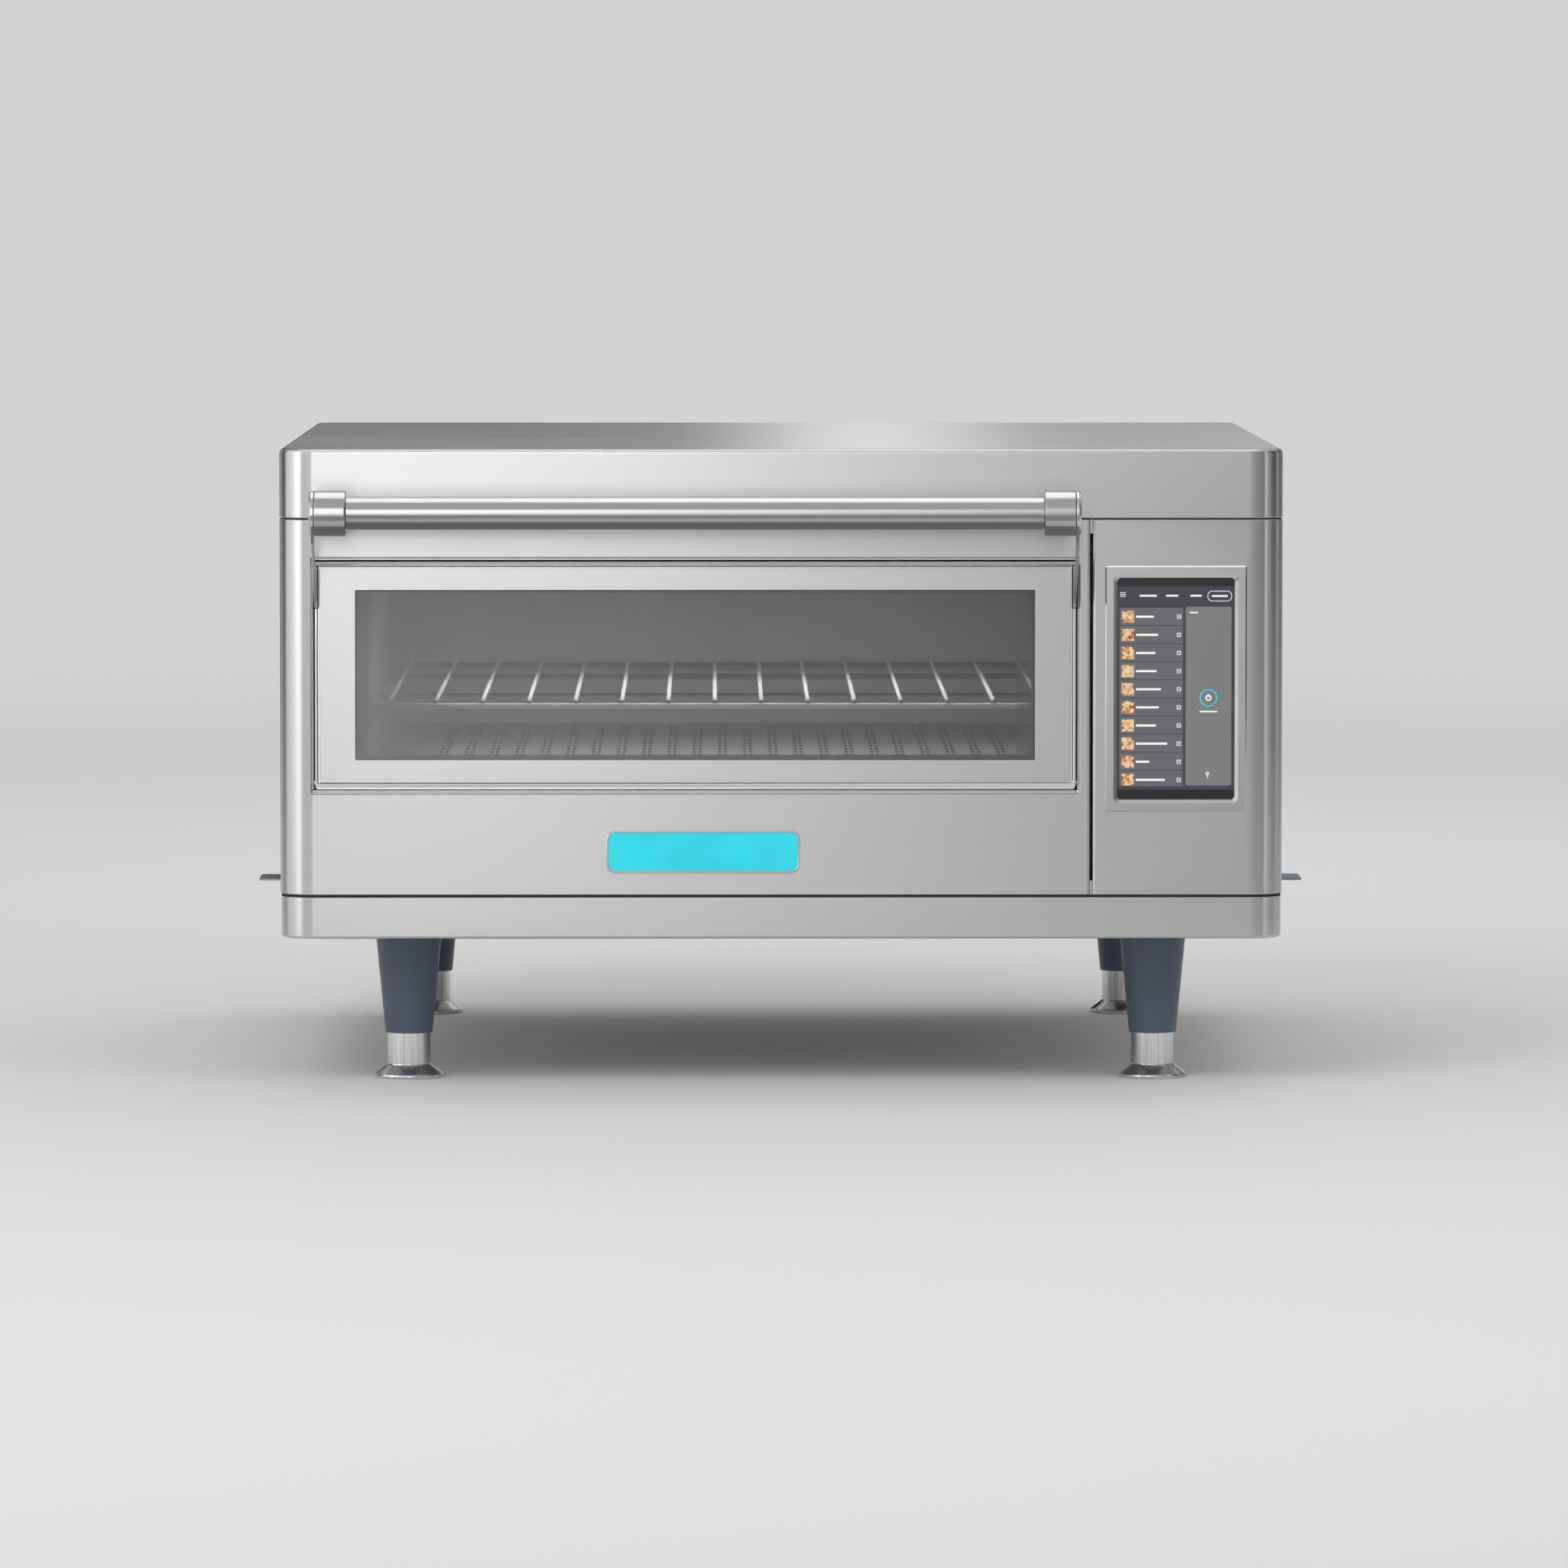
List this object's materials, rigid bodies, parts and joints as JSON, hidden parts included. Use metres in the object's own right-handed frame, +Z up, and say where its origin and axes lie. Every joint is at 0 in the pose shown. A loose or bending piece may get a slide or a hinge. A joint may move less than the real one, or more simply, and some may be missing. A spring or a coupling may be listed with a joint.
{
  "type": "countertop speed oven",
  "caption": "Stainless countertop speed oven on screw feet: drop-down window door with a bar handle, wire rack between jet plates, touch display column, pull-out air filters.",
  "frame": {"origin": "on the floor, under the middle of the bounding box of the whole oven with its handle, filter tabs and cord gland", "axes": "+X to the right as seen from the front, +Y from the door to the rear, +Z up"},
  "size_m": [0.742, 0.8068, 0.447],
  "materials": {
    "brushed_stainless": "fine horizontal brushing",
    "polished_stainless": "polished, with faint brushing",
    "interior_stainless": "satin sheet, slightly heat-tinted",
    "chromed_wire": "bright plated wire",
    "galvanised_sheet": "dull zinc-coated sheet",
    "leg_paint": "satin dark blue-grey paint",
    "motor_paint": "satin grey paint",
    "heater_sheath": "oxidised heating-element sheath",
    "catalyst_coating": "matt washcoat on metal foil",
    "supply_case": "plain folded sheet",
    "oven_glass": "grey-tinted oven glass",
    "display_glass": "black cover glass with a lit display behind it",
    "badge_plate": "cyan enamel with a bare metal rim, left blank",
    "insulation_fibre": "matted mineral fibre",
    "seal_braid": "braided glass-fibre seal",
    "dark_plastic": "moulded, fine grain",
    "circuit_board": "green solder mask with black parts"
  },
  "bodies": {
    "body": {"base_pan": "brushed_stainless", "top_cover": "brushed_stainless", "front_panel": "brushed_stainless", "control_panel": "brushed_stainless", "left_side_panel": "brushed_stainless", "right_side_panel": "brushed_stainless", "rear_panel": "brushed_stainless", "door_surround": "polished_stainless", "cavity_front_frame": "interior_stainless", "cavity_liner": "interior_stainless", "upper_jet_plate": "interior_stainless", "lower_jet_plate": "interior_stainless", "insulation_wrap": "insulation_fibre", "insulation_rear": "insulation_fibre", "cavity_deck": "galvanised_sheet", "column_partition": "galvanised_sheet", "blower_housing": "galvanised_sheet", "blower_motor": "motor_paint", "catalyst": "catalyst_coating", "heater_element": "heater_sheath", "temperature_probe": "polished_stainless", "display_bezel": "polished_stainless", "touch_screen": "display_glass", "display_module": "dark_plastic", "control_board": "circuit_board", "power_supply": "supply_case", "cooling_fan_frame": "dark_plastic", "power_gland": "dark_plastic", "hinge_bracket_left": "galvanised_sheet", "hinge_bracket_right": "galvanised_sheet", "badge": "badge_plate", "leg_front_left": "leg_paint", "leg_front_right": "leg_paint", "leg_rear_left": "leg_paint", "leg_rear_right": "leg_paint", "filter_duct_left": "galvanised_sheet", "filter_duct_right": "galvanised_sheet"},
    "door": {"door_frame": "polished_stainless", "door_face_plate": "brushed_stainless", "window_outer": "oven_glass", "window_inner": "oven_glass", "window_spacer": "galvanised_sheet", "door_liner": "interior_stainless", "door_seal": "seal_braid", "handle_bar": "polished_stainless", "handle_cap_left": "polished_stainless", "handle_cap_right": "polished_stainless", "handle_arm_left": "polished_stainless", "handle_arm_right": "polished_stainless", "hinge_pin_left": "polished_stainless", "hinge_pin_right": "polished_stainless"},
    "rack": {"rack": "chromed_wire"},
    "left_filter": {"air_filter_left": "galvanised_sheet"},
    "right_filter": {"air_filter_right": "galvanised_sheet"},
    "blower_wheel": {"blower_wheel": "galvanised_sheet"},
    "cooling_fan_rotor": {"cooling_fan_rotor": "dark_plastic"},
    "front_left_foot": {"foot_front_left": "polished_stainless"},
    "front_right_foot": {"foot_front_right": "polished_stainless"},
    "rear_left_foot": {"foot_rear_left": "polished_stainless"},
    "rear_right_foot": {"foot_rear_right": "polished_stainless"}
  },
  "joints": [
    {"name": "door_hinge", "type": "hinge", "parent": "body", "child": "door", "pos_m": [-0.0603, -0.32027, 0.21335], "axis": [1, 0, 0], "range_deg": [0, 90], "stiffness_Nm_per_rad": 2, "springref_deg": -57.3},
    {"name": "rack_lift", "type": "slide", "parent": "body", "child": "rack", "axis": [0, 0, 1], "range_m": [0, 0.08]},
    {"name": "left_filter_slide", "type": "slide", "parent": "body", "child": "left_filter", "axis": [-1, 0, 0], "range_m": [0, 0.11]},
    {"name": "right_filter_slide", "type": "slide", "parent": "body", "child": "right_filter", "axis": [1, 0, 0], "range_m": [0, 0.11]},
    {"name": "blower_spin", "type": "hinge", "parent": "body", "child": "blower_wheel", "pos_m": [0.23965, 0.02442, 0.287], "axis": [1, 0, 0], "continuous": true},
    {"name": "cooling_fan_spin", "type": "hinge", "parent": "body", "child": "cooling_fan_rotor", "pos_m": [0.2745, 0.37097, 0.33], "axis": [0, 1, 0], "continuous": true},
    {"name": "front_left_foot_screw", "type": "slide", "parent": "body", "child": "front_left_foot", "axis": [0, 0, -1], "range_m": [0, 0.019]},
    {"name": "front_right_foot_screw", "type": "slide", "parent": "body", "child": "front_right_foot", "axis": [0, 0, -1], "range_m": [0, 0.019]},
    {"name": "rear_left_foot_screw", "type": "slide", "parent": "body", "child": "rear_left_foot", "axis": [0, 0, -1], "range_m": [0, 0.019]},
    {"name": "rear_right_foot_screw", "type": "slide", "parent": "body", "child": "rear_right_foot", "axis": [0, 0, -1], "range_m": [0, 0.019]}
  ]
}
